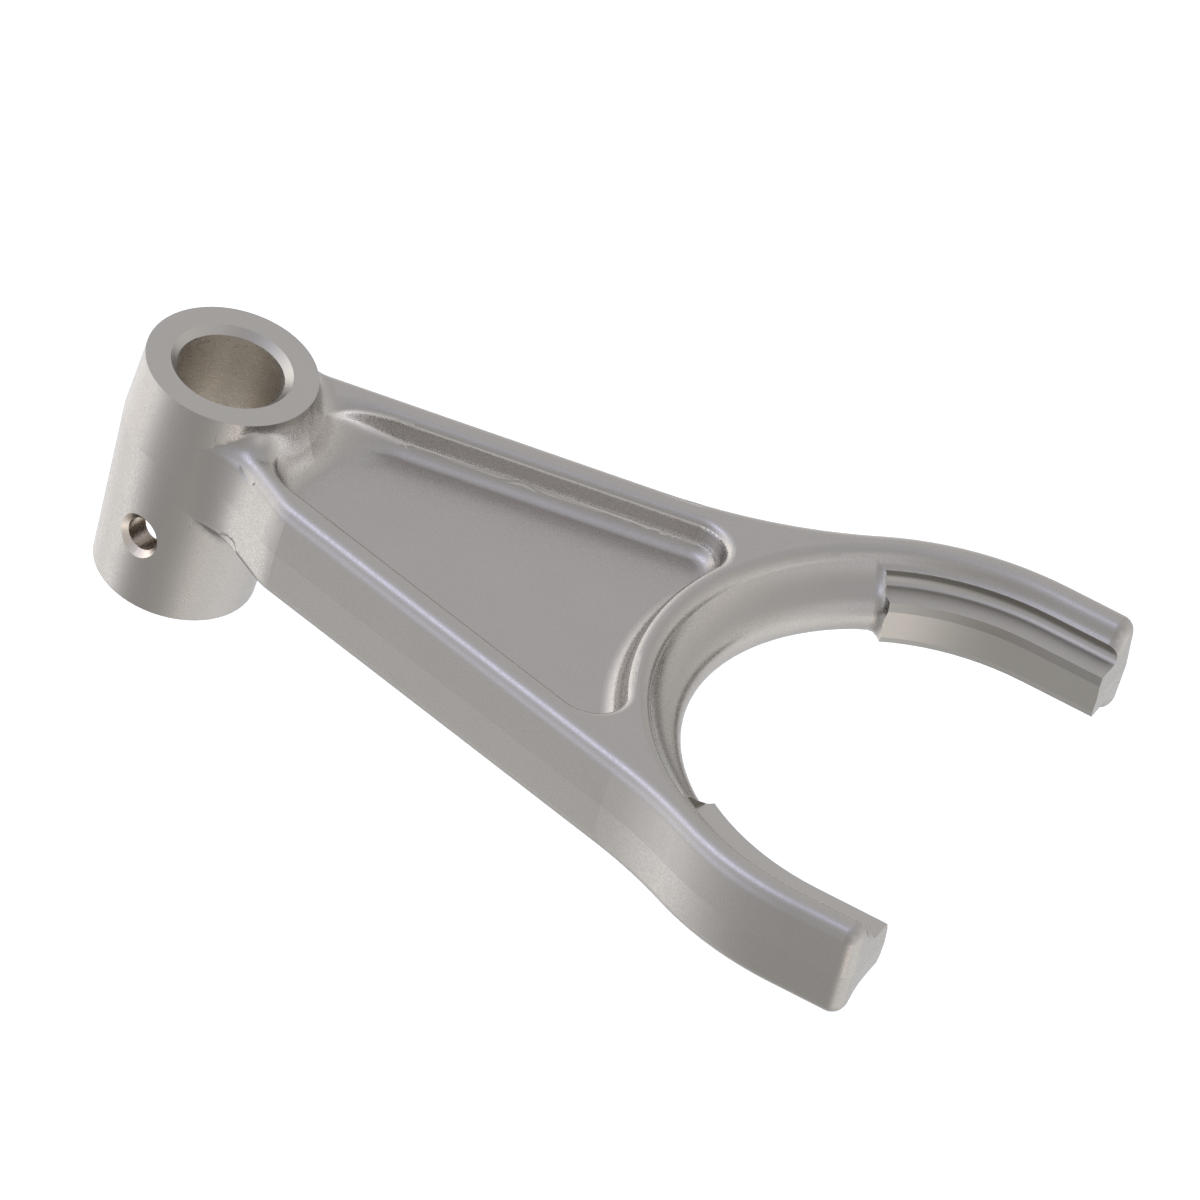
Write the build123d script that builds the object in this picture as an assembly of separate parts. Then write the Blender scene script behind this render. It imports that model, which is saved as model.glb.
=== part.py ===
from build123d import *
from math import cos, hypot, radians, sin, sqrt, tan
import os

os.makedirs("parts", exist_ok=True)

# One casting, millimetres. Origin on the rail bore axis at the parting plane.
# +Z runs up the bore, +X runs from the bore to the open end of the yoke.

# General casting rules
draft = 3.0
edge_round = 2.0

# Hub on the rail
rail_bore_r = 7.5
bore_chamfer = 1.0
hub_r = 12.6
hub_top = 11.0
hub_bottom = -25.0
hub_stock = 4.0

# Lock pin hole through the hub
pin_r = 2.4
pin_chamfer = 1.1
pin_z = -13.7
pin_azimuth = -103.0

# Web and yoke outline at the parting plane
body_half = 7.5
yoke_x = 109.1
yoke_outer_r = 43.3
tip_x = 120.2
tip_corner_r = 2.5
near_offset = 12.55
near_angle = 15.12
near_blend = 66.0
knee_offset = 5.8
knee_angle = 32.3
knee_round = 10.0
hub_blend = 11.0
far_offset = 10.565
far_angle = 12.0
far_blend = 72.0

# Pocket in each face of the web
web_half = 2.6
rail_width = 4.3
pocket_draft = 8.0
pocket_end_r = 41.9
pocket_corner = 5.0
pocket_floor_round = 2.4
pocket_rim_round = 1.4
hub_foot_round = 5.5

# Cast section round the inside of the yoke, radii from the yoke centre
inner_crest_r = 40.33
wall_lean = 26.0
crease_z = 6.0
foot_tilt = 57.0
nose_r = 3.6
throat_r = 33.0

# Cast tongue pads on both arms
pad_half = 5.268
pad_start = 54.6
pad_foot_round = 1.6
pad_stock = 1.2

# Machined land and faces on the pads
land_r = 32.3
land_half = 2.28
lip_r = 32.75
tongue_half = 3.5
relief_r = 37.35
relief_foot = 1.2
face_start = 54.2

# Clearance that tools run past the metal
over = 5.0

lean = radians(wall_lean)
slope = tan(radians(draft))
up_cut = body_half + over


def unit(a, b):
    """Return the direction (a, b) with length one."""
    size = hypot(a, b)
    return a / size, b / size


def arc_mid(centre, radius, start, end):
    """Return the middle of the short arc from start to end."""
    u = unit((start[0] + end[0]) / 2 - centre[0], (start[1] + end[1]) / 2 - centre[1])
    return centre[0] + radius * u[0], centre[1] + radius * u[1]


def side_frame(angle, hand):
    """Return the direction along a web side and its outward normal."""
    a = radians(angle)
    return (cos(a), hand * sin(a)), (-sin(a), hand * cos(a))


def side_line_hit(offset, angle, hand, grow, ring):
    """Return where a web side, moved out by grow, meets a circle about the yoke centre."""
    d, n = side_frame(angle, hand)
    ex = n[0] * (offset + grow) - yoke_x
    ey = n[1] * (offset + grow)
    b = ex * d[0] + ey * d[1]
    t = -b - sqrt(b * b - (ex * ex + ey * ey - ring * ring))
    return n[0] * (offset + grow) + d[0] * t, n[1] * (offset + grow) + d[1] * t


def side_edges(offset, angle, hand, blend):
    """Return the corner points of one web side from the hub to the yoke arm."""
    n = side_frame(angle, hand)[1]
    foot = (n[0] * offset, n[1] * offset)
    centre = side_line_hit(offset, angle, hand, blend, yoke_outer_r + blend)
    leave = (centre[0] - n[0] * blend, centre[1] - n[1] * blend)
    u = unit(centre[0] - yoke_x, centre[1])
    join = (yoke_x + u[0] * yoke_outer_r, u[1] * yoke_outer_r)
    mid = arc_mid(centre, blend, leave, join)
    arm = (yoke_x, hand * yoke_outer_r)
    arm_mid = arc_mid((yoke_x, 0), yoke_outer_r, join, arm)
    return foot, leave, mid, join, arm_mid, arm


def hub_side(offset, angle, hand):
    """Return where the concave blend leaves the hub, its middle and where it joins a side."""
    d, n = side_frame(angle, hand)
    reach = sqrt((hub_r + hub_blend) ** 2 - (offset + hub_blend) ** 2)
    cx = n[0] * (offset + hub_blend) + d[0] * reach
    cy = n[1] * (offset + hub_blend) + d[1] * reach
    u = unit(cx, cy)
    leave = (u[0] * hub_r, u[1] * hub_r)
    join = (n[0] * offset + d[0] * reach, n[1] * offset + d[1] * reach)
    return leave, arc_mid((cx, cy), hub_blend, leave, join), join


def knee_point():
    """Return where the short near wall at the hub meets the long near side."""
    d, n = side_frame(near_angle, -1)
    m = side_frame(knee_angle, -1)[1]
    t = (knee_offset - near_offset * (n[0] * m[0] + n[1] * m[1])) / (d[0] * m[0] + d[1] * m[1])
    return n[0] * near_offset + d[0] * t, n[1] * near_offset + d[1] * t


# Outline of hub, web and yoke
near = side_edges(near_offset, near_angle, -1, near_blend)
far = side_edges(far_offset, far_angle, 1, far_blend)
near_hub = hub_side(knee_offset, knee_angle, -1)
far_hub = hub_side(far_offset, far_angle, 1)
knee = knee_point()
with BuildLine() as outline_wire:
    ThreePointArc(far_hub[0], (-hub_r, 0), near_hub[0])
    ThreePointArc(near_hub[0], near_hub[1], near_hub[2])
    Line(near_hub[2], knee)
    Line(knee, near[1])
    ThreePointArc(near[1], near[2], near[3])
    ThreePointArc(near[3], near[4], near[5])
    Line(near[5], (tip_x, -yoke_outer_r))
    Line((tip_x, -yoke_outer_r), (tip_x, yoke_outer_r))
    Line((tip_x, yoke_outer_r), far[5])
    ThreePointArc(far[5], far[4], far[3])
    ThreePointArc(far[3], far[2], far[1])
    Line(far[1], far_hub[2])
    ThreePointArc(far_hub[2], far_hub[1], far_hub[0])
outline = make_face(outline_wire.line)
tip_corners = [v for v in outline.vertices() if abs(v.X - tip_x) < 0.001]
outline = fillet(tip_corners, tip_corner_r)
knee_corner = [v for v in outline.vertices() if hypot(v.X - knee[0], v.Y - knee[1]) < 0.001]
outline = fillet(knee_corner, knee_round)
blank = extrude(outline, body_half, taper=draft) + extrude(outline, -body_half, taper=draft)


def mirrored(segments):
    """Return the segments mirrored in the parting plane, in running order."""
    out = []
    for seg in reversed(segments):
        out.append([(p[0], -p[1]) for p in reversed(seg)])
    return out


def section_face(segments, place):
    """Return a face from (radius, z) segments put in space by place."""
    edges = []
    for seg in segments:
        points = [place(p) for p in seg]
        if len(points) == 2:
            edges.append(Line(points[0], points[1]))
        else:
            edges.append(ThreePointArc(points[0], points[1], points[2]))
    return Face(Wire(edges))


yoke_axis = Axis((yoke_x, 0, 0), (0, 0, 1))


def arm_sweep(segments, start):
    """Return one section swept along both arms from the angle start to past the tips."""
    result = None
    for hand in (1, -1):
        face = section_face(segments, lambda p: (yoke_x, hand * p[0], p[1]))
        straight = extrude(face, amount=tip_x + over - yoke_x, dir=(1, 0, 0))
        piece = revolve(face, yoke_axis, hand * (90 - start)) + straight
        result = piece if result is None else result + piece
    return result


# Cast section of the throat: rim round, leaning wall, hollow foot, full nose
rim_centre = (inner_crest_r, body_half - edge_round)
rim_top = (inner_crest_r, body_half)
rim_end = (rim_centre[0] - edge_round * cos(lean), rim_centre[1] + edge_round * sin(lean))
crease = (rim_end[0] - (rim_end[1] - crease_z) * tan(lean), crease_z)
nose_x = throat_r + nose_r
tilt = radians(foot_tilt)
foot_gap = (crease[0] - nose_x) ** 2 + crease_z ** 2 - nose_r ** 2
foot_r = foot_gap / (2 * nose_r + 2 * (crease[0] - nose_x) * sin(tilt) - 2 * crease_z * cos(tilt))
foot_centre = (crease[0] - foot_r * sin(tilt), crease_z + foot_r * cos(tilt))
nose_dir = unit(foot_centre[0] - nose_x, foot_centre[1])
nose_top = (nose_x + nose_dir[0] * nose_r, nose_dir[1] * nose_r)
nose_tip = (throat_r, 0.0)
throat_half = [
    [(inner_crest_r, up_cut), rim_top],
    [rim_top, arc_mid(rim_centre, edge_round, rim_top, rim_end), rim_end],
    [rim_end, crease],
    [crease, arc_mid(foot_centre, foot_r, crease, nose_top), nose_top],
    [nose_top, arc_mid((nose_x, 0), nose_r, nose_top, nose_tip), nose_tip],
]
throat = throat_half + mirrored(throat_half)
throat += [
    [(inner_crest_r, -up_cut), (0, -up_cut)],
    [(0, -up_cut), (0, up_cut)],
    [(0, up_cut), (inner_crest_r, up_cut)],
]

# Thicker section of the tongue pads on both arms
hollow_r = (rim_end[1] - pad_half) / (1 - sin(lean))
hollow_centre = (rim_end[0] - hollow_r * cos(lean), pad_half + hollow_r)
hollow_foot = (hollow_centre[0], pad_half)
pad_nose = land_r - pad_stock
pad_section = [
    [(inner_crest_r, up_cut), rim_top],
    [rim_top, arc_mid(rim_centre, edge_round, rim_top, rim_end), rim_end],
    [rim_end, arc_mid(hollow_centre, hollow_r, rim_end, hollow_foot), hollow_foot],
    [hollow_foot, (pad_nose, pad_half)],
    [(pad_nose, pad_half), (pad_nose, 0)],
]
pad = pad_section + mirrored(pad_section)
pad += [
    [(inner_crest_r, -up_cut), (0, -up_cut)],
    [(0, -up_cut), (0, up_cut)],
    [(0, up_cut), (inner_crest_r, up_cut)],
]

# Throat between the pads, with a cast fillet where each pad begins
throat_face = section_face(throat, lambda p: (yoke_x - p[0], 0, p[1]))
hollow = revolve(throat_face, yoke_axis, pad_start)
hollow += revolve(throat_face, yoke_axis, -pad_start)
a0 = radians(pad_start)


def on_pad_end(edge):
    """Say whether an edge of the throat lies in its end plane, off the axis and the caps."""
    for t in (0.0, 0.33, 0.5, 0.77, 1.0):
        p = edge @ t
        if abs((p.X - yoke_x) * sin(a0) + abs(p.Y) * cos(a0)) > 0.001:
            return False
    p = edge @ 0.5
    return hypot(p.X - yoke_x, p.Y) > throat_r / 2 and abs(p.Z) < up_cut - 0.1


ends = [e for e in hollow.edges() if on_pad_end(e)]
hollow = fillet(ends, pad_foot_round)
opening = hollow + arm_sweep(pad, 0)
web = blank - opening


def in_plane(edge, z):
    """Say whether an edge lies in the plane at height z."""
    return all(abs((edge @ t).Z - z) < 0.0001 for t in (0.0, 0.5, 1.0))


def is_outer(edge):
    """Say whether a top or bottom edge belongs to the outer outline."""
    p = edge @ 0.5
    r = hypot(p.X - yoke_x, p.Y) if p.X < yoke_x else abs(p.Y)
    smooth = abs(r - inner_crest_r) < 0.02
    return not (smooth and (p.X < yoke_x or edge.length > edge_round * 2))


outer_edges = []
for edge in web.edges():
    if (in_plane(edge, body_half) or in_plane(edge, -body_half)) and is_outer(edge):
        outer_edges.append(edge)
web = fillet(outer_edges, edge_round)

# Hub as cast, with stock on the upper face
hub_height = hub_top + hub_stock
hub_upper = Solid.make_cone(hub_r, hub_r - hub_height * slope, hub_height)
hub_lower = Solid.make_cone(hub_r + hub_bottom * slope, hub_r, -hub_bottom)
hub = hub_upper + Pos(0, 0, hub_bottom) * hub_lower

# Foot of the hub in the pocket
c, s = cos(radians(draft)), sin(radians(draft))
arc_z = web_half + hub_foot_round
arc_x = (hub_foot_round + hub_r * c - arc_z * s) / c
wall_point = (arc_x - hub_foot_round * c, 0, arc_z - hub_foot_round * s)
floor_point = (arc_x, 0, web_half)
u = unit((wall_point[0] + floor_point[0]) / 2 - arc_x, (wall_point[2] + web_half) / 2 - arc_z)
mid_point = (arc_x + u[0] * hub_foot_round, 0, arc_z + u[1] * hub_foot_round)
foot_edges = [
    ThreePointArc(wall_point, mid_point, floor_point),
    Line(floor_point, (arc_x, 0, 0)),
    Line((arc_x, 0, 0), (rail_bore_r, 0, 0)),
    Line((rail_bore_r, 0, 0), (rail_bore_r, 0, wall_point[2])),
    Line((rail_bore_r, 0, wall_point[2]), wall_point),
]
hub_foot = revolve(Face(Wire(foot_edges)), Axis.Z, 360)

# Pocket tool: upright walls, rounded floor, cleared round the hub
inset = body_half * slope + rail_width
near_in = side_line_hit(near_offset - inset, near_angle, -1, 0, pocket_end_r)
far_in = side_line_hit(far_offset - inset, far_angle, 1, 0, pocket_end_r)
near_n = side_frame(near_angle, -1)[1]
far_n = side_frame(far_angle, 1)[1]
near_foot = (near_n[0] * (near_offset - inset), near_n[1] * (near_offset - inset))
far_foot = (far_n[0] * (far_offset - inset), far_n[1] * (far_offset - inset))
with BuildLine() as pocket_wire:
    Line(near_foot, near_in)
    ThreePointArc(near_in, (yoke_x - pocket_end_r, 0), far_in)
    Line(far_in, far_foot)
    Line(far_foot, near_foot)
pocket_face = make_face(pocket_wire.line)
end_corners = [v for v in pocket_face.vertices() if v.X > hub_r * 2]
pocket_face = Pos(0, 0, body_half) * fillet(end_corners, pocket_corner)
depth = body_half - web_half
pocket = extrude(pocket_face, -depth, taper=pocket_draft)
pocket += extrude(pocket_face, hub_height - body_half, taper=-pocket_draft)
pocket = pocket - hub - hub_foot
floor_edges = []
for edge in pocket.edges():
    p = edge @ 0.5
    if in_plane(edge, web_half) and hypot(p.X, p.Y) > arc_x + 0.1:
        floor_edges.append(edge)
pocket = fillet(floor_edges, pocket_floor_round)
web = web - pocket - mirror(pocket, about=Plane.XY)


def depth_inside(p):
    """Return how far a point on the upper face lies inside the nearer web side."""
    gaps = []
    for offset, angle, hand in ((near_offset, near_angle, -1), (far_offset, far_angle, 1)):
        n = side_frame(angle, hand)[1]
        gaps.append(offset - body_half * slope - (p.X * n[0] + p.Y * n[1]))
    return min(gaps)


rim_edges = []
for edge in web.edges():
    if in_plane(edge, body_half) or in_plane(edge, -body_half):
        p = edge @ 0.5
        far_side = hypot(p.X - yoke_x, p.Y) > pocket_end_r - 1.0
        if depth_inside(p) > rail_width - 1.0 and far_side and p.X > rail_bore_r / 2:
            rim_edges.append(edge)
web = fillet(rim_edges, pocket_rim_round)
casting = web + hub

# Machined faces of the hub
trim = Pos(0, 0, hub_top + hub_stock) * Box(hub_r * 4, hub_r * 4, hub_stock * 2)
bore = Pos(0, 0, (hub_top + hub_bottom) / 2) * Cylinder(rail_bore_r, hub_height - hub_bottom)
chamfer_r = rail_bore_r + bore_chamfer
upper_cone = Solid.make_cone(rail_bore_r, chamfer_r + over, bore_chamfer + over)
upper_cone = Pos(0, 0, hub_top - bore_chamfer) * upper_cone
lower_cone = Solid.make_cone(chamfer_r + over, rail_bore_r, bore_chamfer + over)
lower_cone = Pos(0, 0, hub_bottom - over) * lower_cone
fork = casting - trim - bore - upper_cone - lower_cone

# Lock pin hole
wall_r = hub_r + pin_z * slope
pin = Cylinder(pin_r, (hub_r + over) * 2)
sink = Solid.make_cone(pin_r, pin_r + pin_chamfer + over, pin_chamfer + over)
sink = Pos(0, 0, wall_r - pin_chamfer) * sink
pin_tool = pin + sink
pin_tool = Rot(0, 0, pin_azimuth) * Pos(0, 0, pin_z) * Rot(0, 90, 0) * pin_tool
fork = fork - pin_tool

# Machined land and lips
land_half_profile = [
    [(lip_r, up_cut), (lip_r, tongue_half)],
    [(lip_r, tongue_half), (land_r, land_half)],
    [(land_r, land_half), (land_r, 0)],
]
land = land_half_profile + mirrored(land_half_profile)
land += [
    [(lip_r, -up_cut), (0, -up_cut)],
    [(0, -up_cut), (0, up_cut)],
    [(0, up_cut), (lip_r, up_cut)],
]
fork = fork - arm_sweep(land, 0)

# Machined tongue faces
toe = (relief_r - relief_foot, tongue_half)
heel = (relief_r, tongue_half + relief_foot)
toe_centre = (toe[0], heel[1])
face_cut = [
    [(pad_nose, up_cut), (relief_r, up_cut)],
    [(relief_r, up_cut), heel],
    [heel, arc_mid(toe_centre, relief_foot, heel, toe), toe],
    [toe, (pad_nose, tongue_half)],
    [(pad_nose, tongue_half), (pad_nose, up_cut)],
]
upper_faces = arm_sweep(face_cut, face_start)
fork = fork - upper_faces - mirror(upper_faces, about=Plane.XY)

export_step(fork, "parts/shift_fork.step")
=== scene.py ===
"""A cast aluminium gearbox shift fork, dressed for a plain studio picture around its CAD frame."""

import logging
import math
from dataclasses import dataclass
from enum import Enum

import bpy
from mathutils import Matrix, Vector


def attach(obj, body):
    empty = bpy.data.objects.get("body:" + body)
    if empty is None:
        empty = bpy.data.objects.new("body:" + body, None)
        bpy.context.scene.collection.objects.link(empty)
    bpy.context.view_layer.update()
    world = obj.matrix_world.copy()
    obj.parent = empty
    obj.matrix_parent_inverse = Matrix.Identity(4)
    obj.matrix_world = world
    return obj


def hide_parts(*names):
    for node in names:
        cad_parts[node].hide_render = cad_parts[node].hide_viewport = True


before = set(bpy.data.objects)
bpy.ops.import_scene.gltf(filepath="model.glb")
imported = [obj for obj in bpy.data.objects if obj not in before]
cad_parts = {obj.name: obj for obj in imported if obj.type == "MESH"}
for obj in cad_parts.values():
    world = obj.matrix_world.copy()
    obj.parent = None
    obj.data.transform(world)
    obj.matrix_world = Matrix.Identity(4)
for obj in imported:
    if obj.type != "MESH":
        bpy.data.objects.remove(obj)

MM = 0.001
CAD_NODE = "shift_fork"
BODY = "root"
# Face attribute that marks where painted light, a lighter tone, goes on pocket walls.
PAINTED_LIGHT = "painted_light"
LOG = logging.getLogger("shift_fork")

# The two parts of the sRGB curve: a straight start and a power.
SRGB_START = 0.04045
SRGB_START_SLOPE = 12.92
SRGB_SHIFT = 0.055
SRGB_POWER = 2.4


def linear_colour(code: str) -> tuple[float, float, float, float]:
    """Turn an sRGB hex colour into Blender's linear colour.

    Args:
        code: the colour as "#RRGGBB".

    Returns:
        Red, green, blue and an alpha of one.
    """
    parts = [int(code[i:i + 2], 16) / 255 for i in (1, 3, 5)]
    linear = [
        c / SRGB_START_SLOPE if c <= SRGB_START else ((c + SRGB_SHIFT) / (1 + SRGB_SHIFT)) ** SRGB_POWER
        for c in parts
    ]
    return linear[0], linear[1], linear[2], 1.0


def clamped(value: float, highest: float = 1.0) -> float:
    """Return a value brought into the range from zero to the highest value."""
    return min(max(value, 0.0), highest)


def eased(share: float) -> float:
    """Return a share from zero to one that starts and ends gently."""
    return share * share * (3 - 2 * share)


def smooth_min(a: float, b: float, reach: float) -> float:
    """Return the lower of two values, rounded where they differ by less than reach.

    Args:
        a: one value.
        b: the other value.
        reach: the difference at which the rounding begins.

    Returns:
        The rounded minimum.
    """
    near = max(reach - abs(a - b), 0.0) / reach
    return min(a, b) - near * near * reach / 4


def add_node(
    tree: bpy.types.NodeTree,
    kind: str,
    inputs: dict[str | int, object] | None = None,
    **settings: object,
) -> bpy.types.Node:
    """Add one node with its settings, values and links.

    Args:
        tree: the node tree that gets the node.
        kind: the node's type name.
        inputs: for each input, by name or number, a value or the socket that feeds it.
        **settings: properties of the node itself.

    Returns:
        The new node.
    """
    node = tree.nodes.new(kind)
    for name, value in settings.items():
        setattr(node, name, value)
    for key, value in (inputs or {}).items():
        if isinstance(value, bpy.types.NodeSocket):
            tree.links.new(value, node.inputs[key])
        else:
            node.inputs[key].default_value = value
    return node


class Marks(Enum):
    """The way in which a cutting tool has left its lines."""

    NONE = "no lines"
    RINGS = "circles about an upright axis, on a flat face"
    LAYERS = "circles one above the other, on an upright wall"


@dataclass(frozen=True)
class AluminiumFinish:
    """One way in which the surface of the aluminium casting was made."""

    name: str
    colour: str
    shade: str
    roughness: float
    roughness_spread: float
    grain_mm: float
    grain_depth_mm: float
    grain_detail: float = 1.0
    grain_roughness: float = 0.7
    speck_mm: float = 0.17
    patch_mm: float = 9.0
    patch_detail: float = 3.0
    patch_roughness: float = 0.55
    marks: Marks = Marks.NONE
    marks_x_mm: float = 0.0
    pitch_mm: float = 0.3
    marks_depth_mm: float = 0.0
    painted_light_colour: str | None = None

    def line_height(self, tree: bpy.types.NodeTree, place: bpy.types.NodeSocket) -> bpy.types.NodeSocket:
        """Return the height of the tool's lines, from minus one to one.

        Args:
            tree: the material's node tree.
            place: the Object coordinates.

        Returns:
            The socket that holds the height.
        """
        centred = add_node(tree, "ShaderNodeMapping", {0: place, 1: (-self.marks_x_mm * MM, 0.0, 0.0)})
        if self.marks is Marks.RINGS:
            flat = add_node(tree, "ShaderNodeVectorMath", {
                0: centred.outputs[0], 1: (1.0, 1.0, 0.0),
            }, operation="MULTIPLY")
            length = add_node(tree, "ShaderNodeVectorMath", {0: flat.outputs[0]}, operation="LENGTH")
            across = length.outputs[1]
        else:
            across = add_node(tree, "ShaderNodeSeparateXYZ", {0: centred.outputs[0]}).outputs[2]
        turn = 2 * math.pi / (self.pitch_mm * MM)
        phase = add_node(tree, "ShaderNodeMath", {0: across, 1: turn}, operation="MULTIPLY")
        return add_node(tree, "ShaderNodeMath", {0: phase.outputs[0]}, operation="SINE").outputs[0]

    def tone(self, tree: bpy.types.NodeTree, place: bpy.types.NodeSocket) -> bpy.types.NodeSocket:
        """Return the colour: two close tones in broad patches, and a lighter tone painted as light on
        some pocket walls.

        Args:
            tree: the material's node tree.
            place: the Object coordinates.

        Returns:
            The socket that holds the colour.
        """
        patches = add_node(tree, "ShaderNodeTexNoise", {
            "Vector": place, "Scale": 1 / (self.patch_mm * MM), "Detail": self.patch_detail,
            "Roughness": self.patch_roughness,
        })
        tone = add_node(tree, "ShaderNodeMix", {
            "Factor": patches.outputs["Fac"], 6: linear_colour(self.colour), 7: linear_colour(self.shade),
        }, data_type="RGBA")
        # Painted light: a face attribute mixes in a lighter tone on pocket walls that look to one side.
        if self.painted_light_colour:
            painted_light = add_node(tree, "ShaderNodeAttribute", attribute_name=PAINTED_LIGHT)
            tone = add_node(tree, "ShaderNodeMix", {
                "Factor": painted_light.outputs["Fac"], 6: tone.outputs[2], 7: linear_colour(self.painted_light_colour),
            }, data_type="RGBA")
        return tone.outputs[2]

    def gloss(self, tree: bpy.types.NodeTree, place: bpy.types.NodeSocket) -> bpy.types.NodeSocket:
        """Return the roughness, which differs from speck to speck.

        Args:
            tree: the material's node tree.
            place: the Object coordinates.

        Returns:
            The socket that holds the roughness.
        """
        cell = add_node(tree, "ShaderNodeVectorMath", {
            0: place, 1: (self.speck_mm * MM, self.speck_mm * MM, self.speck_mm * MM),
        }, operation="SNAP")
        specks = add_node(tree, "ShaderNodeTexWhiteNoise", {"Vector": cell.outputs[0]})
        gloss = add_node(tree, "ShaderNodeMapRange", {
            "Value": specks.outputs["Value"], "From Min": 0.0, "From Max": 1.0,
            "To Min": self.roughness - self.roughness_spread,
            "To Max": self.roughness + self.roughness_spread,
        })
        return gloss.outputs[0]

    def relief(self, tree: bpy.types.NodeTree, place: bpy.types.NodeSocket) -> bpy.types.NodeSocket:
        """Return the normal, roughened by the grain and by the tool's lines.

        Args:
            tree: the material's node tree.
            place: the Object coordinates.

        Returns:
            The socket that holds the normal.
        """
        grain = add_node(tree, "ShaderNodeTexNoise", {
            "Vector": place, "Scale": 1 / (self.grain_mm * MM), "Detail": self.grain_detail,
            "Roughness": self.grain_roughness,
        })
        bump = add_node(tree, "ShaderNodeBump", {
            "Height": grain.outputs["Fac"], "Strength": 1.0, "Distance": self.grain_depth_mm * MM,
        })
        if self.marks is not Marks.NONE:
            bump = add_node(tree, "ShaderNodeBump", {
                "Height": self.line_height(tree, place), "Strength": 1.0,
                "Distance": self.marks_depth_mm * MM, "Normal": bump.outputs[0],
            })
        return bump.outputs[0]

    def build(self) -> bpy.types.Material:
        """Build the material of this finish.

        Returns:
            The material.
        """
        material = bpy.data.materials.new(self.name)
        material.use_nodes = True
        tree = material.node_tree
        tree.nodes.clear()
        place = add_node(tree, "ShaderNodeTexCoord").outputs["Object"]
        surface = add_node(tree, "ShaderNodeBsdfPrincipled", {
            "Base Color": self.tone(tree, place), "Metallic": 1.0, "Roughness": self.gloss(tree, place),
            "Normal": self.relief(tree, place),
        })
        add_node(tree, "ShaderNodeOutputMaterial", {"Surface": surface.outputs[0]})
        return material


# Cast aluminium, shot-blasted: an even grey satin with a fine grain.
# The lighter extra colour is painted light on pocket walls that look to one side, set only to match the
# photograph's brightness on those walls.
CAST = AluminiumFinish(
    name="shot_blasted_cast_aluminium", colour="#948F8A", shade="#8F8B86", roughness=0.27,
    roughness_spread=0.11, grain_mm=0.16, grain_depth_mm=0.011, painted_light_colour="#DAD5D1",
)
# Face turned on a lathe: smoother than the casting, with rings drawn a little coarser than real ones.
TURNED = AluminiumFinish(
    name="turned_aluminium_face", colour="#96928C", shade="#928E88", roughness=0.34,
    roughness_spread=0.03, grain_mm=0.2, grain_depth_mm=0.003, marks=Marks.RINGS, pitch_mm=0.4,
    marks_depth_mm=0.0012,
)
# Bore reamed for the rail: warm grey with faint rings. Its base is painted lighter only to make up for
# the shade in the bore.
REAMED = AluminiumFinish(
    name="reamed_aluminium_bore_lightened_for_shade", colour="#D8D2C9", shade="#CAC4BB", roughness=0.4,
    roughness_spread=0.15, grain_mm=0.16, grain_depth_mm=0.01, marks=Marks.LAYERS, pitch_mm=0.5,
    marks_depth_mm=0.002,
)
# Tongue faces milled round the sleeve's axis: the cutter's arcs follow the yoke.
MILLED = AluminiumFinish(
    name="milled_aluminium_tongue", colour="#98948E", shade="#94908A", roughness=0.33,
    roughness_spread=0.03, grain_mm=0.2, grain_depth_mm=0.003, marks=Marks.RINGS, marks_x_mm=109.1,
    pitch_mm=0.5, marks_depth_mm=0.0012,
)
# Land bored to the sleeve groove's radius: an upright wall with rings one above the other.
BORED = AluminiumFinish(
    name="bored_aluminium_land", colour="#98948E", shade="#94908A", roughness=0.32,
    roughness_spread=0.03, grain_mm=0.2, grain_depth_mm=0.003, marks=Marks.LAYERS, pitch_mm=0.5,
    marks_depth_mm=0.0012,
)
# Pin hole drilled and countersunk. Its base is light only to make up for its shade.
DRILLED = AluminiumFinish(
    name="drilled_aluminium_hole", colour="#B8AFA6", shade="#AEA59B", roughness=0.3,
    roughness_spread=0.04, grain_mm=0.2, grain_depth_mm=0.003,
)


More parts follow.
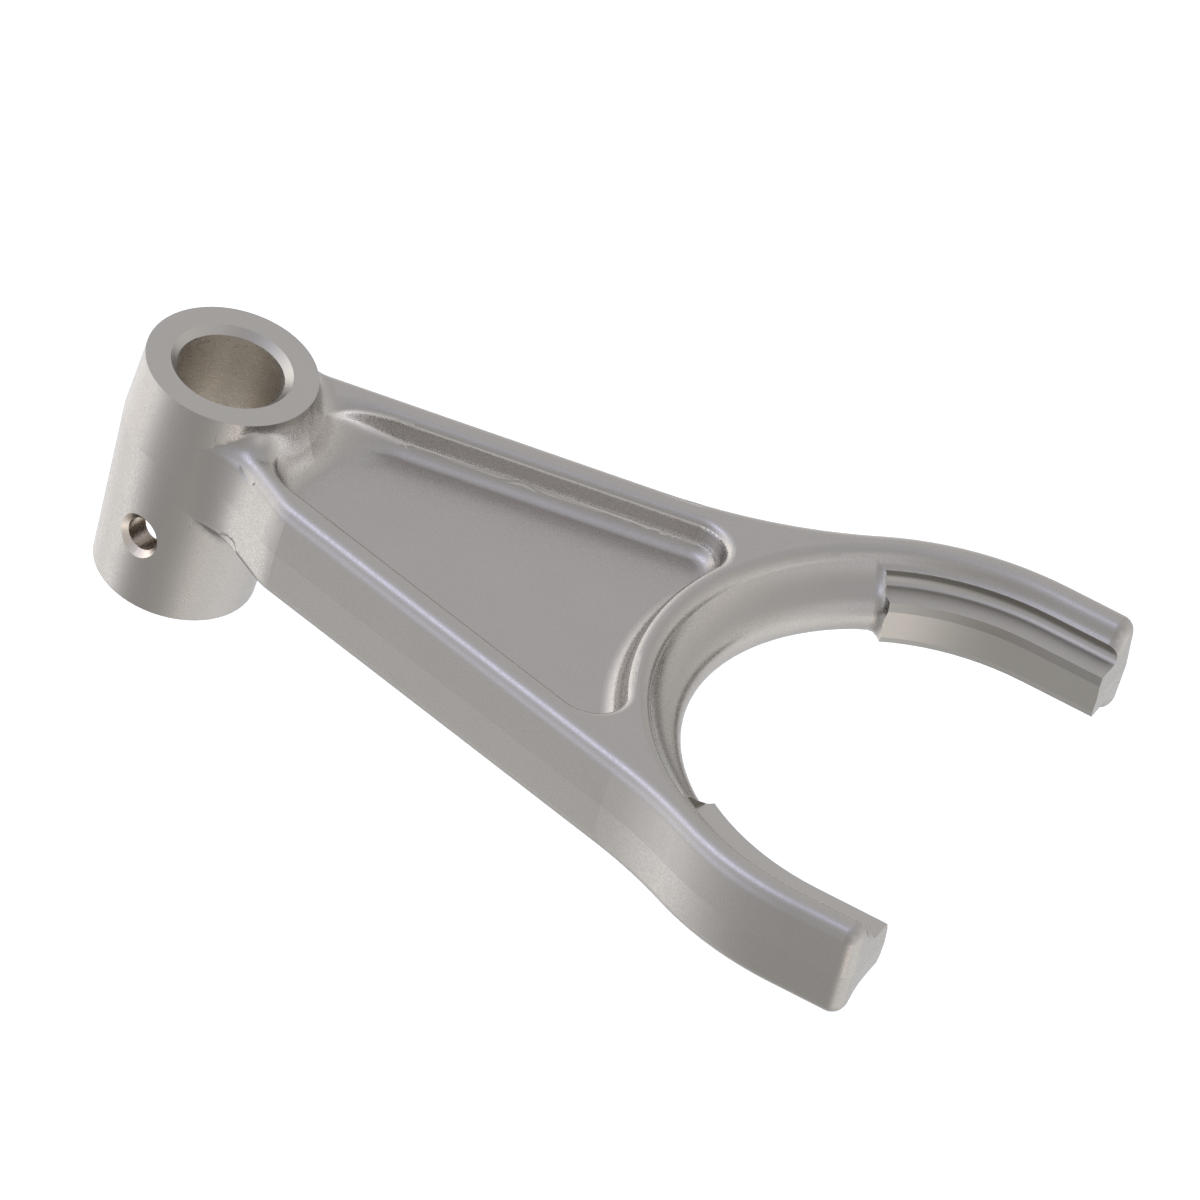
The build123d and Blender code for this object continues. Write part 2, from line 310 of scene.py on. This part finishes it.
@dataclass
class ShiftFork:
    """The fork: one casting with a bored hub, a pocketed web and machined tongues.

    Lengths are in millimetres and angles in degrees. The values that end in "normal" or "normals"
    are shares of a face's direction, upwards or along the pin hole.
    """

    bore_r: float = 7.5
    bore_chamfer: float = 1.0
    hub_top: float = 11.0
    hub_bottom: float = -25.0
    wall_normal: float = 0.5
    end_normal: float = 0.99
    pin_r: float = 2.4
    pin_sink_r: float = 3.55
    pin_z: float = -13.7
    pin_azimuth: float = -103.0
    sink_normals: tuple[float, float] = (0.3, 0.9)
    yoke_x: float = 109.1
    land_r: float = 32.3
    lip_r: float = 32.75
    relief_r: float = 37.35
    tongue_half: float = 3.5
    tongue_start: float = 54.0
    pocket_end_r: float = 41.0
    pocket_end_x: float = 75.0
    near: float = 0.1
    stray_deg: float = 22.0
    mended: int = 0

    def hub_finish(self, centre: Vector, normal: Vector) -> AluminiumFinish | None:
        """Choose the finish of a face in the bore or on an end of the hub.

        Args:
            centre: the middle of the face.
            normal: the direction that the face looks in.

        Returns:
            The finish, or None for a face elsewhere.
        """
        hub_dist = math.hypot(centre.x, centre.y)
        if hub_dist < self.bore_r + self.near and abs(normal.z) < self.wall_normal:
            return REAMED
        on_top = centre.z > self.hub_top - self.bore_chamfer
        on_end = on_top or centre.z < self.hub_bottom + self.bore_chamfer
        if on_end and (abs(normal.z) > self.end_normal or hub_dist < self.bore_r + self.bore_chamfer):
            return TURNED
        return None

    def pin_finish(self, centre: Vector, normal: Vector) -> AluminiumFinish | None:
        """Choose the finish of a face in the pin hole or its countersink.

        Args:
            centre: the middle of the face.
            normal: the direction that the face looks in.

        Returns:
            The finish, or None for a face elsewhere.
        """
        turn = math.radians(self.pin_azimuth)
        axis = Vector((math.cos(turn), math.sin(turn), 0.0))
        from_pin = centre - Vector((0.0, 0.0, self.pin_z))
        along = from_pin.dot(axis)
        off_axis = (from_pin - axis * along).length
        leaning = abs(normal.dot(axis))
        if off_axis < self.pin_r + self.near and leaning < self.wall_normal:
            return DRILLED
        least, most = self.sink_normals
        if off_axis < self.pin_sink_r and along > self.bore_r and least < leaning < most:
            return DRILLED
        return None

    def yoke_finish(self, centre: Vector) -> AluminiumFinish:
        """Choose the finish of a face by where it lies on the yoke.

        Args:
            centre: the middle of the face.

        Returns:
            The finish of a land or tongue, or else the one of the casting.
        """
        side = abs(centre.y)
        yoke_dist = math.hypot(centre.x - self.yoke_x, side) if centre.x < self.yoke_x else side
        sweep = math.degrees(math.atan2(side, self.yoke_x - centre.x))
        if sweep < self.tongue_start or yoke_dist > self.relief_r + self.near:
            return CAST
        if abs(centre.z) < self.tongue_half and yoke_dist < self.lip_r + self.near:
            return BORED
        on_tongue = abs(centre.z) > self.tongue_half - self.near and yoke_dist > self.land_r
        return MILLED if on_tongue else CAST

    def finish_of(self, centre: Vector, normal: Vector) -> AluminiumFinish:
        """Choose the finish of a face by where it lies and how it faces.

        Args:
            centre: the middle of the face, in millimetres.
            normal: the direction that the face looks in.

        Returns:
            The finish that this place of the part has.
        """
        machined = self.hub_finish(centre, normal) or self.pin_finish(centre, normal)
        return machined or self.yoke_finish(centre)

    def mended_copy(self) -> bpy.types.Object:
        """Copy the CAD casting, with no corner shaded far off its face.

        Returns:
            The copy, in the scene.
        """
        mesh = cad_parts[CAD_NODE].data.copy()
        mesh.name = "casting"
        limit = math.cos(math.radians(self.stray_deg))
        normals = [Vector(corner.vector) for corner in mesh.corner_normals]
        for face in mesh.polygons:
            for corner in face.loop_indices:
                if normals[corner].dot(face.normal) < limit:
                    normals[corner] = Vector(face.normal)
                    self.mended += 1
        mesh.normals_split_custom_set([tuple(normal) for normal in normals])
        casting = bpy.data.objects.new("casting", mesh)
        bpy.context.scene.collection.objects.link(casting)
        return casting

    def mark_painted_light(self, mesh: bpy.types.Mesh, blend: "HubBlend") -> None:
        """Mark the pocket walls that look to the lighter side, where painted light goes.

        Args:
            mesh: the casting's mesh.
            blend: the foot of the hub, which knows where the pockets lie.
        """
        painted_light = mesh.attributes.new(PAINTED_LIGHT, "FLOAT", "FACE")
        for face in mesh.polygons:
            centre = face.center / MM
            inside = blend.floor - self.near < abs(centre.z) < blend.rail_top
            inside = inside and math.hypot(centre.x - self.yoke_x, centre.y) > self.pocket_end_r
            inside = inside and centre.x < self.pocket_end_x
            inside = inside and blend.pocket_depth(centre.xy) > -blend.rim_round
            steep = blend.steepness(face.normal, blend.flat_normal)
            painted_light.data[face.index].value = steep if inside else 0.0

    def build(self, blend: "HubBlend") -> bpy.types.Object:
        """Copy the CAD casting, give each face its finish and put it in the CAD node's place.

        Args:
            blend: the foot of the hub, which knows where the pockets lie.

        Returns:
            The casting.
        """
        casting = self.mended_copy()
        mesh = casting.data
        mesh.materials.clear()
        finishes = [CAST, TURNED, REAMED, MILLED, BORED, DRILLED]
        for finish in finishes:
            mesh.materials.append(finish.build())
        for face in mesh.polygons:
            chosen = self.finish_of(face.center / MM, face.normal)
            face.material_index = finishes.index(chosen)
        self.mark_painted_light(mesh, blend)
        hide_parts(CAD_NODE)
        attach(casting, BODY)
        return casting


@dataclass(frozen=True)
class WebSide:
    """One outer side of the web in plan, at the level of the upper face, in millimetres and degrees."""

    offset: float
    angle: float
    hand: int
    blend_r: float = 11.39
    hub_r: float = 12.21

    def axes(self) -> tuple[Vector, Vector]:
        """Find the side's two directions in plan.

        Returns:
            The direction along the side and the one out of it.
        """
        turn = math.radians(self.angle)
        along = Vector((math.cos(turn), self.hand * math.sin(turn)))
        return along, Vector((-math.sin(turn), self.hand * math.cos(turn)))

    def depth(self, point: Vector) -> float:
        """Measure how far a point lies inside the side, with its concave blend to the hub.

        Args:
            point: the place in plan.

        Returns:
            The depth, which is negative outside.
        """
        along, out = self.axes()
        reach = math.sqrt((self.hub_r + self.blend_r) ** 2 - (self.offset + self.blend_r) ** 2)
        if point.dot(along) > reach:
            return self.offset - point.dot(out)
        centre = out * (self.offset + self.blend_r) + along * reach
        return (point - centre).length - self.blend_r


@dataclass
class HubBlend:
    """The cast foot by which rails and pocket run up to the hub, on both faces of the web.

    It is a surface in rows away from the hub and columns from the near to the far side, laid over
    the casting above and below. Lengths are in millimetres and angles in degrees. Steep faces that
    look to the lighter side get a lighter tone, which is painted light. That side was chosen from the
    photograph.
    """

    near_side: WebSide = WebSide(offset=12.157, angle=15.12, hand=-1)
    knee_side: WebSide = WebSide(offset=5.407, angle=32.3, hand=-1)
    far_side: WebSide = WebSide(offset=10.172, angle=12.0, hand=1)
    knee_reach: float = 1.0
    rail_width: float = 4.3
    rail_top: float = 7.5
    floor: float = 2.6
    edge_round: float = 2.0
    draft: float = 3.0
    rim_round: float = 1.4
    wall_draft: float = 8.0
    floor_round: float = 2.4
    slope_width: float = 6.0
    corner: tuple[float, float] = (21.9, -3.3)
    corner_r: float = 11.3
    corner_lean: float = 0.5
    corner_blend: float = 0.9
    hub_line: float = 11.5
    hub_corner: float = 12.0
    rim_corner: float = 3.5
    hub_r: float = 12.6
    hub_top: float = 11.0
    rail_foot: float = 3.5
    pocket_foot: float = 5.5
    side_reach: float = 3.5
    inner_r: float = 11.9
    soft_r: float = 14.0
    near_end: float = 28.0
    far_end: float = 26.0
    inset: float = 0.12
    proud: float = 0.006
    hub_proud: float = 0.024
    hub_clear: float = 0.05
    widest_turn: float = 100.0
    halvings: int = 30
    columns: int = 240
    rows: int = 120
    row_spread: float = 1.5
    sharp_deg: float = 45.0
    flat_normal: float = 0.55
    foot_flat_normal: float = 0.72
    steep_normal: float = 0.3
    # These two set where the painted light goes: walls that look to this side, fading in over this reach
    # from the rim.
    lighter_side: tuple[float, float] = (0.45, -0.9)
    painted_light_reach: float = 1.6

    def outer_depth(self, point: Vector, hand: int) -> float:
        """Measure how far a point lies inside one side of the web.

        Args:
            point: the place in plan.
            hand: -1 for the near side, with its knee, and 1 for the far side.

        Returns:
            The depth, which is negative outside.
        """
        if hand > 0:
            return self.far_side.depth(point)
        near = self.near_side.offset - point.dot(self.near_side.axes()[1])
        return smooth_min(near, self.knee_side.depth(point), self.knee_reach)

    def pocket_depth(self, point: Vector) -> float:
        """Measure how far a point lies inside the rim of the pocket, at the upper face.

        Args:
            point: the place in plan.

        Returns:
            The depth, which is negative outside.
        """
        along, out = self.near_side.axes()
        near = self.near_side.offset - self.rail_width - point.dot(out)
        from_corner = point - Vector(self.corner)
        back = max(-from_corner.dot(along), 0.0)
        side = from_corner.dot(out)
        corner = self.corner_r - math.hypot(back, max(side, 0.0)) + max(-side, 0.0) * self.corner_lean
        near = smooth_min(near, corner, self.corner_blend)
        far = self.far_side.offset - self.rail_width - point.dot(self.far_side.axes()[1])
        far = smooth_min(far, point.length - self.hub_line, self.hub_corner)
        return smooth_min(near, far, self.rim_corner)

    def wall_height(self, depth: float) -> float:
        """Return the height of the pocket's rim, wall or floor.

        Args:
            depth: how far the place lies inside the rim.

        Returns:
            The height above the parting plane.
        """
        lean = math.radians(self.wall_draft)
        tangent = math.tan((math.pi / 2 - lean) / 2)
        rim = depth + self.rim_round * tangent
        if rim <= 0:
            return self.rail_top
        if rim < self.rim_round * math.cos(lean):
            return self.rail_top - self.rim_round + math.sqrt(self.rim_round ** 2 - rim ** 2)
        foot = (self.rail_top - self.floor) * math.tan(lean) + self.floor_round * tangent - depth
        if foot <= 0:
            return self.floor
        if foot < self.floor_round * math.cos(lean):
            return self.floor + self.floor_round - math.sqrt(self.floor_round ** 2 - foot ** 2)
        return self.rail_top - depth / math.tan(lean)

    def web_height(self, depth: float, soft: float) -> float:
        """Return the height of rail, wall and floor, with a softer slope near the hub.

        Args:
            depth: how far the place lies inside the pocket's rim.
            soft: how far the softer slope takes the wall's place, from 0 to 1.

        Returns:
            The height above the parting plane.
        """
        run = clamped((depth + self.rim_round) / self.slope_width)
        slope_height = self.rail_top - (self.rail_top - self.floor) * eased(run)
        wall_height = self.wall_height(depth)
        return wall_height + (slope_height - wall_height) * soft * soft

    def foot_rise(self, point: Vector, base: float) -> float:
        """Return how far the foot rises over the web beside the hub.

        Args:
            point: the place in plan.
            base: the height of the web there.

        Returns:
            The rise, which fades out towards the near side's outer edge.
        """
        share = (base - self.floor) / (self.rail_top - self.floor)
        foot = self.pocket_foot + (self.rail_foot - self.pocket_foot) * share
        hub_wall = self.hub_r - (base + foot) * math.tan(math.radians(self.draft))
        gap = clamped(hub_wall + foot - point.length, foot)
        cove = foot - math.sqrt(foot ** 2 - gap ** 2)
        return cove * eased(clamped(self.outer_depth(point, -1) / self.side_reach))

    def edge_drop(self, point: Vector) -> float:
        """Return how far the rounded outer edge lies below the top of the rail.

        Args:
            point: the place in plan.

        Returns:
            The drop, which is zero away from the edge.
        """
        tangent = self.edge_round * math.tan((math.pi / 2 - math.radians(self.draft)) / 2)
        edge = min(self.outer_depth(point, -1), self.outer_depth(point, 1), tangent)
        return self.edge_round - math.sqrt(self.edge_round ** 2 - (tangent - edge) ** 2)

    def height(self, point: Vector, end: float) -> float:
        """Return the height of the blended surface above the parting plane.

        Args:
            point: the place in plan.
            end: the distance from the rail axis at which the blend ends.

        Returns:
            The height in millimetres.
        """
        soft = clamped((end - point.length) / (end - self.soft_r))
        base = self.web_height(self.pocket_depth(point), soft)
        top = base + self.foot_rise(point, base) - self.edge_drop(point) + self.proud
        hub_wall = (self.hub_r + self.hub_proud - point.length) / math.tan(math.radians(self.draft))
        return min(max(top, hub_wall), self.hub_top - self.proud)

    def steepness(self, normal: Vector, flat: float) -> float:
        """Return how far a face is a wall that looks to the lighter side, which sets its share of painted
        light.

        Args:
            normal: the direction that the face looks in.
            flat: the upward part of the normal at which a face counts as flat.

        Returns:
            A share from 0 to 1.
        """
        steep = clamped((flat - abs(normal.z)) / (flat - self.steep_normal))
        return steep * clamped(normal.xy.dot(Vector(self.lighter_side)))

    def edge_angle(self, dist: float, hand: int) -> float:
        """Find the direction from the rail axis in which the web's side lies.

        Args:
            dist: the distance from the rail axis.
            hand: -1 for the near side and 1 for the far side.

        Returns:
            The direction in radians, a little inside the side.
        """
        inner = 0.0
        outer = hand * math.radians(self.widest_turn)
        for _ in range(self.halvings):
            middle = (inner + outer) / 2
            point = Vector((math.cos(middle), math.sin(middle))) * dist
            if self.outer_depth(point, hand) > self.inset:
                inner = middle
            else:
                outer = middle
        return inner

    def side_angles(self) -> list[list[float]]:
        """List the directions of the near and the far side at even distances from the rail axis.

        Returns:
            One list of directions for each side.
        """
        span = self.near_end - self.inner_r
        dists = [self.inner_r + span * i / self.rows for i in range(self.rows + 1)]
        clear_r = self.near_side.hub_r + self.hub_clear
        return [[self.edge_angle(max(dist, clear_r), hand) for dist in dists] for hand in (-1, 1)]

    def vertex_pair(self, row: int, column: int, sides: list[list[float]]) -> list[tuple]:
        """Place one point of the surface above the web and its mirror image below.

        Args:
            row: the row, counted from the hub.
            column: the column, counted from the near side.
            sides: the directions of both sides, as side_angles gives them.

        Returns:
            The upper and the lower point, in metres.
        """
        share = column / self.columns
        end = self.near_end + (self.far_end - self.near_end) * eased(share)
        dist = self.inner_r + (end - self.inner_r) * (row / self.rows) ** self.row_spread
        spot = (dist - self.inner_r) / (self.near_end - self.inner_r) * self.rows
        low = min(int(spot), self.rows - 1)
        near, far = (side[low] + (side[low + 1] - side[low]) * (spot - low) for side in sides)
        turn = near + (far - near) * share
        point = Vector((math.cos(turn), math.sin(turn))) * dist
        top = self.height(point, end)
        return [(point.x * MM, point.y * MM, top * MM), (point.x * MM, point.y * MM, -top * MM)]

    def faces(self) -> list[tuple[int, ...]]:
        """List the faces of both surfaces and of the wall that joins them round the edge.

        Returns:
            The vertex numbers of each face.
        """
        wide = self.columns + 1
        faces: list[tuple[int, ...]] = []
        for row in range(self.rows):
            for column in range(self.columns):
                first = row * wide + column
                quad = (first, first + wide, first + wide + 1, first + 1)
                faces += [tuple(2 * i for i in quad), tuple(2 * i + 1 for i in reversed(quad))]
        ring = [(0, c) for c in range(self.columns)]
        ring += [(r, self.columns) for r in range(self.rows)]
        ring += [(self.rows, c) for c in range(self.columns, 0, -1)]
        ring += [(r, 0) for r in range(self.rows, 0, -1)]
        loop = [2 * (r * wide + c) for r, c in ring]
        faces += [(b, a, a + 1, b + 1) for a, b in zip(loop, loop[1:] + loop[:1])]
        return faces

    def mark_painted_light(self, mesh: bpy.types.Mesh) -> None:
        """Mark the pocket walls that look to the lighter side for painted light, fading out at the rim.

        Args:
            mesh: the blend's mesh.
        """
        painted_light = mesh.attributes.new(PAINTED_LIGHT, "FLOAT", "FACE")
        for face in mesh.polygons:
            plan = (face.center / MM).xy
            inside = clamped((self.pocket_depth(plan) + self.rim_round) / self.painted_light_reach)
            painted_light.data[face.index].value = self.steepness(face.normal, self.foot_flat_normal) * inside

    def build(self, material: bpy.types.Material) -> bpy.types.Object:
        """Lay the blended surface over both faces of the web, as one closed mesh.

        Args:
            material: the finish of the casting.

        Returns:
            The blend.
        """
        sides = self.side_angles()
        verts = []
        for row in range(self.rows + 1):
            for column in range(self.columns + 1):
                verts += self.vertex_pair(row, column, sides)
        mesh = bpy.data.meshes.new("hub_foot_blend")
        mesh.from_pydata(verts, [], self.faces())
        mesh.shade_smooth()
        mesh.set_sharp_from_angle(angle=math.radians(self.sharp_deg))
        mesh.materials.append(material)
        self.mark_painted_light(mesh)
        piece = bpy.data.objects.new("hub_foot_blend", mesh)
        bpy.context.scene.collection.objects.link(piece)
        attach(piece, BODY)
        return piece


@dataclass(frozen=True)
class Glow:
    """One soft panel of the studio, as a broad glow in one direction."""

    azimuth: float
    elevation: float
    sharpness: float
    light: tuple[float, float, float]

    def direction(self) -> Vector:
        """Find the direction that the glow comes from.

        Returns:
            The direction, which for azimuth 0 is the front.
        """
        turn = math.radians(self.azimuth)
        rise = math.radians(self.elevation)
        return Vector((math.sin(turn) * math.cos(rise), -math.cos(turn) * math.cos(rise), math.sin(rise)))


@dataclass
class Studio:
    """The floor, the light and the camera. Light and camera are fitted to the photograph."""

    floor_z_mm: float = -70.0
    floor_side_m: float = 6.0
    floor_colour: str = "#F7F7F6"
    look_at_mm: tuple[float, float, float] = (57.56, 4.17, 0.0)
    right: tuple[float, float, float] = (0.8701, 0.4425, 0.2171)
    up: tuple[float, float, float] = (-0.4418, 0.5051, 0.7414)
    frame_px: float = 1200.0
    px_per_mm: float = 7.42
    camera_away_m: float = 0.6
    fill: tuple[float, float, float] = (0.86, 0.87, 0.88)
    glows: tuple[Glow, ...] = (
        Glow(-105, 0, 3, (2.24, 2.20, 2.20)),
        Glow(90, -30, 3, (1.09, 1.12, 1.17)),
        Glow(-75, 60, 30, (1.27, 1.36, 2.05)),
        Glow(-75, -45, 30, (0.99, 1.04, 1.10)),
        Glow(135, 15, 3, (0.51, 0.50, 0.51)),
        Glow(-45, 0, 10, (0.55, 0.63, 0.91)),
        Glow(45, -30, 30, (0.90, 0.79, 0.72)),
        Glow(60, 30, 10, (0.49, 0.48, 0.57)),
        Glow(-90, 60, 3, (0.30, 0.35, 0.55)),
    )

    def build_camera(self) -> None:
        """Set up the parallel view of the photograph."""
        right = Vector(self.right).normalized()
        up = Vector(self.up)
        up = (up - right * up.dot(right)).normalized()
        back = right.cross(up)
        data = bpy.data.cameras.new("camera")
        data.type = "ORTHO"
        data.ortho_scale = self.frame_px / self.px_per_mm * MM
        camera = bpy.data.objects.new("camera", data)
        place = Vector(self.look_at_mm) * MM + back * self.camera_away_m
        turn = Matrix((right, up, back)).transposed()
        camera.matrix_world = Matrix.Translation(place) @ turn.to_4x4()
        bpy.context.scene.collection.objects.link(camera)
        bpy.context.scene.camera = camera

    def build_floor(self) -> None:
        """Lay a plain pale floor below the part, which doesn't touch it. From below it is clear."""
        half = self.floor_side_m / 2
        z = self.floor_z_mm * MM
        mesh = bpy.data.meshes.new("floor")
        corners = [(-half, -half, z), (half, -half, z), (half, half, z), (-half, half, z)]
        mesh.from_pydata(corners, [], [(0, 1, 2, 3)])
        floor = bpy.data.objects.new("floor", mesh)
        bpy.context.scene.collection.objects.link(floor)
        material = bpy.data.materials.new("pale_floor")
        material.use_nodes = True
        tree = material.node_tree
        tree.nodes.clear()
        paint = add_node(tree, "ShaderNodeBsdfDiffuse", {"Color": linear_colour(self.floor_colour)})
        clear = add_node(tree, "ShaderNodeBsdfTransparent")
        side = add_node(tree, "ShaderNodeNewGeometry").outputs["Backfacing"]
        shown = add_node(tree, "ShaderNodeMixShader", {0: side, 1: paint.outputs[0], 2: clear.outputs[0]})
        add_node(tree, "ShaderNodeOutputMaterial", {"Surface": shown.outputs[0]})
        mesh.materials.append(material)
        floor.visible_glossy = False

    def build_world(self) -> None:
        """Light the part from all round, brightest from the left."""
        world = bpy.data.worlds.new("studio")
        bpy.context.scene.world = world
        world.use_nodes = True
        tree = world.node_tree
        tree.nodes.clear()
        aim = add_node(tree, "ShaderNodeTexCoord").outputs["Generated"]
        total = self.fill
        for glow in self.glows:
            facing = add_node(tree, "ShaderNodeVectorMath", {
                0: aim, 1: glow.direction(),
            }, operation="DOT_PRODUCT")
            front = add_node(tree, "ShaderNodeMath", {0: facing.outputs[1], 1: 0.0}, operation="MAXIMUM")
            shape = add_node(tree, "ShaderNodeMath", {
                0: front.outputs[0], 1: glow.sharpness,
            }, operation="POWER")
            sum_so_far = add_node(tree, "ShaderNodeVectorMath", {
                0: shape.outputs[0], 1: glow.light, 2: total,
            }, operation="MULTIPLY_ADD")
            total = sum_so_far.outputs[0]
        light = add_node(tree, "ShaderNodeBackground", {"Color": total, "Strength": 1.0})
        add_node(tree, "ShaderNodeOutputWorld", {"Surface": light.outputs[0]})

    def build(self) -> None:
        """Build the floor, the light and the camera."""
        self.build_floor()
        self.build_world()
        self.build_camera()
        bpy.context.scene.view_settings.view_transform = "Standard"


def main() -> None:
    """Build the fork and the studio in order."""
    logging.basicConfig(level=logging.INFO, format="%(message)s")
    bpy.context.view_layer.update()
    blend = HubBlend()
    fork = ShiftFork()
    casting = fork.build(blend)
    LOG.info("casting: %d faces, %d finishes", len(casting.data.polygons), len(casting.data.materials))
    LOG.info("stray corners mended: %d", fork.mended)
    foot = blend.build(casting.data.materials[0])
    LOG.info("hub foot blend: %d faces", len(foot.data.polygons))
    Studio().build()
    LOG.info("studio: floor, light and camera")


if __name__ == "__main__":
    main()
